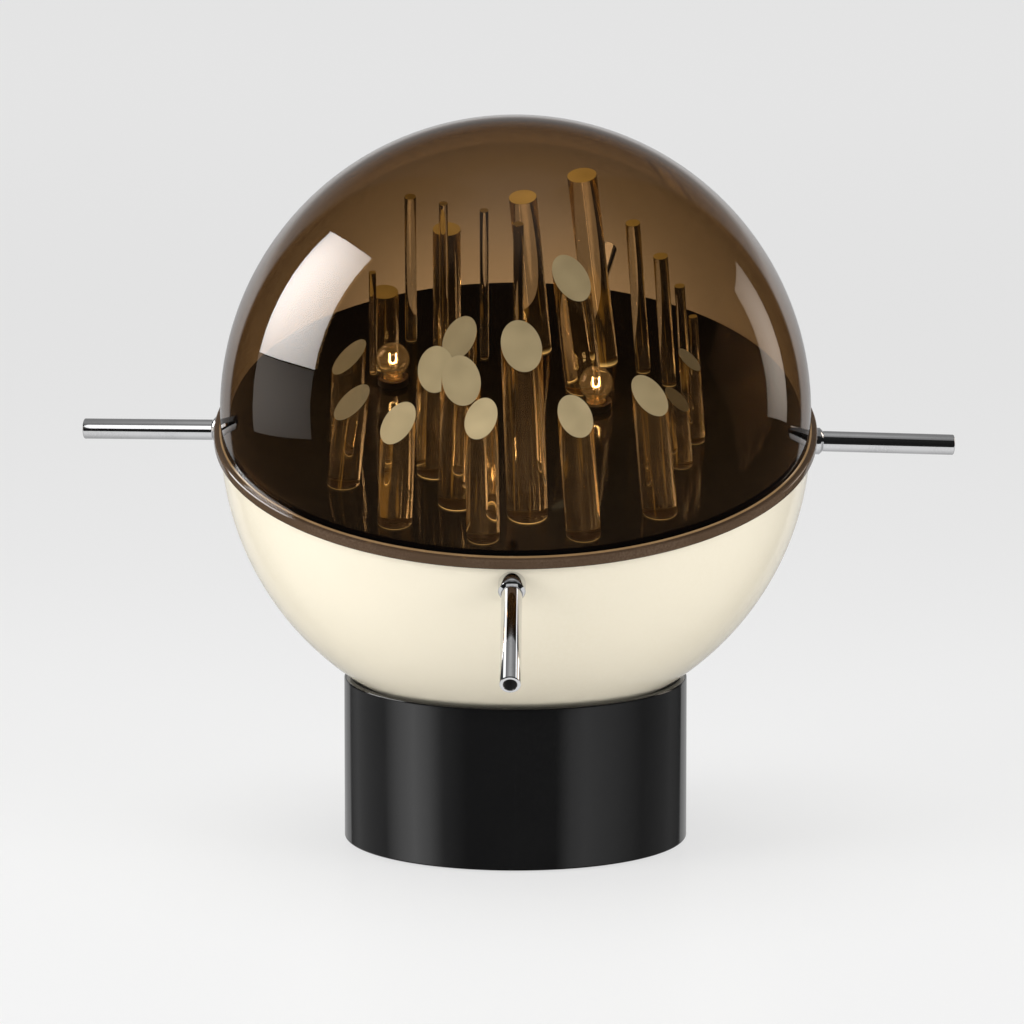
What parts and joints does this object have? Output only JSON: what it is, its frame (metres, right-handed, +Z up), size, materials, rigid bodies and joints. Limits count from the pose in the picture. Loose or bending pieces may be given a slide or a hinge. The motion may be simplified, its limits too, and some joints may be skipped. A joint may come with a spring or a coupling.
{
  "type": "globe table lamp",
  "caption": "Globe table lamp: a cream shell and smoked dome form a ball that tilts and swivels in a black ring base, with clear rods and bulbs inside and tube arms as handles.",
  "frame": {"origin": "middle of the base's felt on the table, under the ball's centre", "axes": "+Z up, -Y towards the pictured front, +X to the viewer's right"},
  "size_m": [0.595, 0.5584, 0.4954],
  "materials": {
    "black_lacquer": "gloss black lacquer on a turned steel tube",
    "steel": "plain zinc-plated steel",
    "felt": "pressed black felt",
    "black_nylon": "moulded black nylon",
    "cream_acrylic": "gloss cream acrylic",
    "black_acrylic": "polished black acrylic sheet",
    "chrome": "polished chrome plating",
    "holder_plastic": "black moulded lamp holder",
    "cap_brass": "rolled brass",
    "bulb_glass": "clear thin glass",
    "filament_wire": "glowing wire",
    "block_plastic": "moulded terminal strip",
    "lead_sleeve": "brown sleeved lead",
    "smoked_acrylic": "smoked brown clear acrylic",
    "clear_acrylic": "clear cast acrylic, sawn ends left frosted"
  },
  "bodies": {
    "base": {"base_tube": "black_lacquer", "base_plate": "steel", "base_screws": "steel", "felt_pad": "felt"},
    "seat": {"seat_ring": "black_nylon"},
    "gland": {"cord_gland": "black_nylon", "gland_nut": "black_nylon"},
    "ball": {"lower_shell": "cream_acrylic", "rim_ring": "steel", "deck_ring": "black_nylon", "deck_screws": "steel", "deck": "black_acrylic", "arm_front": "chrome", "arm_back": "chrome", "arm_left": "chrome", "arm_right": "chrome", "arm_collars": "chrome", "arm_washers": "steel", "arm_nuts": "steel", "bulb_holder_left": "holder_plastic", "bulb_holder_right": "holder_plastic", "terminal_block": "block_plastic", "leads": "lead_sleeve", "switch_body": "black_nylon", "switch_nut": "chrome", "cut_rod_1": "clear_acrylic", "cut_rod_2": "clear_acrylic", "cut_rod_3": "clear_acrylic", "cut_rod_4": "clear_acrylic", "cut_rod_5": "clear_acrylic", "cut_rod_6": "clear_acrylic", "cut_rod_7": "clear_acrylic", "cut_rod_8": "clear_acrylic", "cut_rod_9": "clear_acrylic", "cut_rod_10": "clear_acrylic", "cut_rod_11": "clear_acrylic", "cut_rod_12": "clear_acrylic", "cut_rod_13": "clear_acrylic", "flat_rod_1": "clear_acrylic", "flat_rod_2": "clear_acrylic", "flat_rod_3": "clear_acrylic", "flat_rod_4": "clear_acrylic", "flat_rod_5": "clear_acrylic", "flat_rod_6": "clear_acrylic", "flat_rod_7": "clear_acrylic", "flat_rod_8": "clear_acrylic", "flat_rod_9": "clear_acrylic", "flat_rod_10": "clear_acrylic", "flat_rod_11": "clear_acrylic", "flat_rod_12": "clear_acrylic", "flat_rod_13": "clear_acrylic"},
    "dome": {"dome": "smoked_acrylic"},
    "left_bulb": {"bulb_cap_left": "cap_brass", "bulb_glass_left": "bulb_glass", "bulb_filament_left": "filament_wire"},
    "right_bulb": {"bulb_cap_right": "cap_brass", "bulb_glass_right": "bulb_glass", "bulb_filament_right": "filament_wire"},
    "button": {"switch_button": "chrome"}
  },
  "joints": [
    {"name": "swivel", "type": "hinge", "parent": "base", "child": "seat", "pos_m": [0, 0, 0.27924], "axis": [0, 0, 1], "range_deg": [-170, 170]},
    {"name": "tilt", "type": "hinge", "parent": "seat", "child": "gland", "pos_m": [0, 0, 0.27924], "axis": [1, 0, 0], "range_deg": [-38, 8]},
    {"name": "spin", "type": "hinge", "parent": "gland", "child": "ball", "pos_m": [0, 0, 0.27924], "axis": [0, -0.2656, 0.9641], "range_deg": [-120, 120]},
    {"name": "dome_lift", "type": "slide", "parent": "ball", "child": "dome", "axis": [0, -0.2656, 0.9641], "range_m": [0, 0.22]},
    {"name": "left_bulb_out", "type": "slide", "parent": "ball", "child": "left_bulb", "axis": [0, -0.3074, 0.9516], "range_m": [0, 0.034]},
    {"name": "right_bulb_out", "type": "slide", "parent": "ball", "child": "right_bulb", "axis": [0, -0.3074, 0.9516], "range_m": [0, 0.034]},
    {"name": "button_press", "type": "slide", "parent": "ball", "child": "button", "axis": [-0.5624, -0.802, 0.201], "range_m": [0, 0.003], "stiffness_N_per_m": 400}
  ]
}
